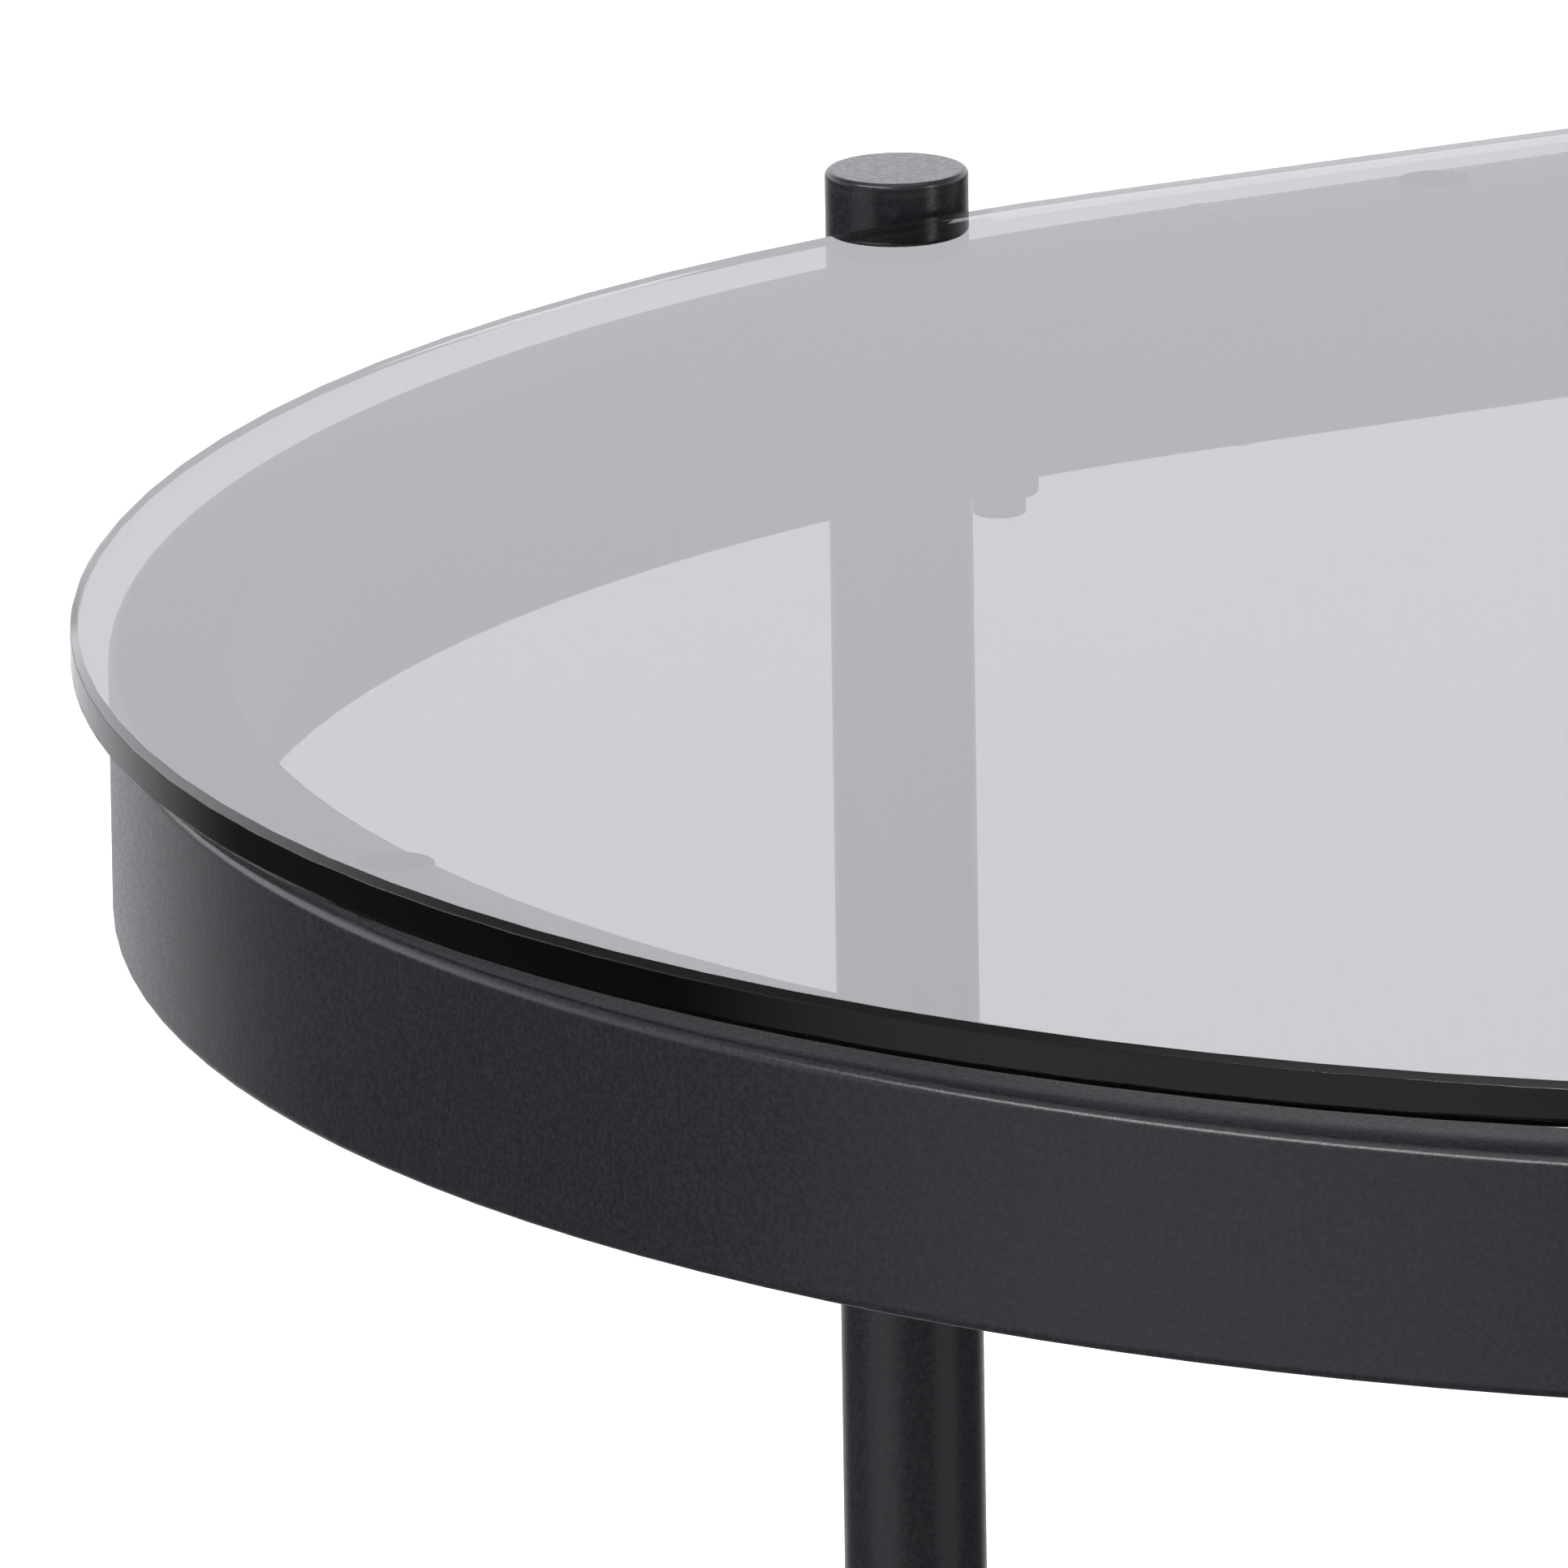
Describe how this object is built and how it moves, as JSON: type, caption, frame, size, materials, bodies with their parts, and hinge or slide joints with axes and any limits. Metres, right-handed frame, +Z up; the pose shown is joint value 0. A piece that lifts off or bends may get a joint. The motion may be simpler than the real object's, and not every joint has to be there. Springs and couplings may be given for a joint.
{
  "type": "nesting tables",
  "caption": "Oblong nesting tables with smoked glass tops on black steel frames and round legs that rise past the glass edge; the lower table slides under the other.",
  "frame": {"origin": "on the floor, at the middle of the whole set's length and width at rest", "axes": "+X along the tables, the way the small one pulls out; +Y to the back; +Z up"},
  "size_m": [1.1004, 0.5468, 0.4243],
  "materials": {
    "smoked_glass": "grey tinted float glass with a polished arrissed edge",
    "black_coat": "fine-textured satin black powder coat",
    "clear_pad": "clear soft bumper pad",
    "black_plastic": "moulded black plastic glide",
    "black_screw": "black oxide machine screw",
    "zinc": "bright zinc-plated rivet nut"
  },
  "bodies": {
    "large_table": {"large_glass_pads": "clear_pad", "large_frame_left_bow": "black_coat", "large_frame_right_bow": "black_coat", "large_frame_front_rail": "black_coat", "large_frame_back_rail": "black_coat", "large_leg_caps": "black_coat", "large_foot_glides": "black_plastic", "large_leg_brackets": "black_coat", "large_bracket_screws": "black_screw", "large_rivet_nuts": "zinc", "large_leg_front_left": "black_coat", "large_leg_front_right": "black_coat", "large_leg_back_left": "black_coat", "large_leg_back_right": "black_coat"},
    "large_glass": {"large_glass_top": "smoked_glass"},
    "small_table": {"small_glass_pads": "clear_pad", "small_frame_left_bow": "black_coat", "small_frame_right_bow": "black_coat", "small_frame_front_rail": "black_coat", "small_frame_back_rail": "black_coat", "small_leg_caps": "black_coat", "small_foot_glides": "black_plastic", "small_leg_brackets": "black_coat", "small_bracket_screws": "black_screw", "small_rivet_nuts": "zinc", "small_leg_front_left": "black_coat", "small_leg_front_right": "black_coat", "small_leg_back_left": "black_coat", "small_leg_back_right": "black_coat"},
    "small_glass": {"small_glass_top": "smoked_glass"}
  },
  "joints": [
    {"name": "nest_slide", "type": "slide", "parent": "large_table", "child": "small_table", "axis": [1, 0, 0], "range_m": [-0.2, 0.7]},
    {"name": "large_glass_lift", "type": "slide", "parent": "large_table", "child": "large_glass", "axis": [0, 0, 1], "range_m": [0, 0.3]},
    {"name": "small_glass_lift", "type": "slide", "parent": "small_table", "child": "small_glass", "axis": [0, 0, 1], "range_m": [0, 0.01]}
  ]
}
